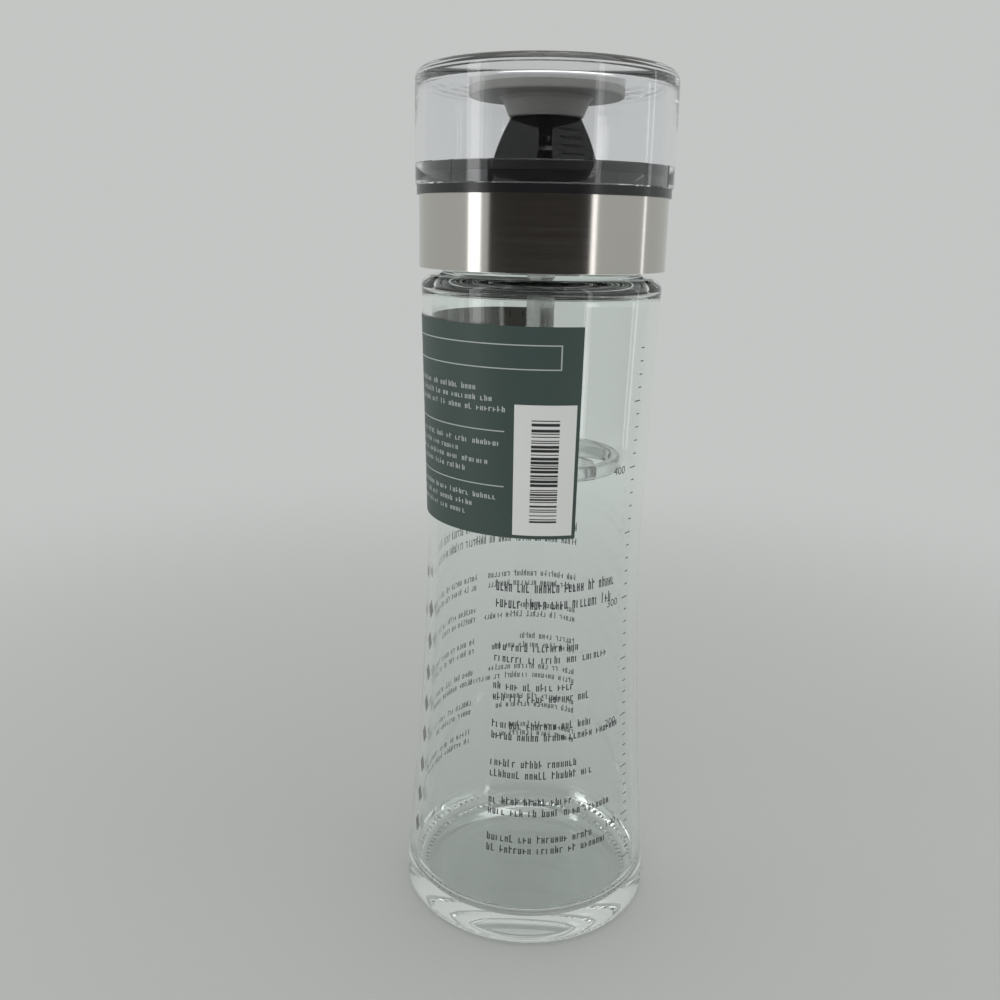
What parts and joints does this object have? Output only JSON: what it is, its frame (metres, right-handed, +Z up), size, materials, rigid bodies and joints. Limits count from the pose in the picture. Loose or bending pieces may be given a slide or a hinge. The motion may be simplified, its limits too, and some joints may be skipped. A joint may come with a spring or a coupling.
{
  "type": "salad dressing shaker bottle",
  "caption": "Waisted glass shaker bottle with a screw lid, pouring spout, hanging mixing wheel and a clear overcap whose seal closes the spout.",
  "frame": {"origin": "middle of the circle that the bottle stands on, at table level", "axes": "+Z up along the bottle's axis; -Y is the front, where the label's edge and the sticker are; +X is to the right of someone facing the front"},
  "size_m": [0.0758, 0.0758, 0.242],
  "materials": {
    "clear_glass": "clear soda-lime glass with a faint green tint, polished",
    "label_paper": "coated paper, dark grey-green, satin",
    "sticker_paper": "white sticker paper",
    "black_plastic": "moulded black plastic, semi-gloss",
    "steel": "stainless steel brushed round the sleeve",
    "gasket_silicone": "milky silicone",
    "black_rubber": "black rubber, matt",
    "spout_plastic": "polished black plastic",
    "rod_plastic": "frosted clear plastic",
    "wheel_plastic": "clear plastic",
    "clear_plastic": "thick clear plastic, polished",
    "grey_silicone": "grey silicone, satin"
  },
  "bodies": {
    "bottle": {"glass_bottle": "clear_glass", "paper_label": "label_paper", "sticker": "sticker_paper"},
    "gasket": {"neck_gasket": "gasket_silicone"},
    "mixer": {"mixer_rod": "rod_plastic", "mixer_wheel": "wheel_plastic"},
    "lid": {"lid_body": "black_plastic", "steel_sleeve": "steel", "drum_seal": "black_rubber", "pour_spout": "spout_plastic"},
    "overcap": {"overcap": "clear_plastic", "overcap_seal": "grey_silicone"}
  },
  "joints": [
    {"name": "lid_lift", "type": "slide", "parent": "bottle", "child": "gasket", "axis": [0, 0, 1], "range_m": [0, 0.09]},
    {"name": "lid_rise", "type": "slide", "parent": "gasket", "child": "mixer", "axis": [0, 0, 1], "range_m": [0, 0.005]},
    {"name": "lid_turn", "type": "hinge", "parent": "mixer", "child": "lid", "pos_m": [0, 0, 0.2], "axis": [0, 0, 1], "range_deg": [0, 360]},
    {"name": "overcap_lift", "type": "slide", "parent": "lid", "child": "overcap", "axis": [0, 0, 1], "range_m": [0, 0.04]}
  ],
  "couplings": [
    {"joint": "lid_rise", "follows": "lid_turn", "m_per_rad": 0.0007957}
  ]
}
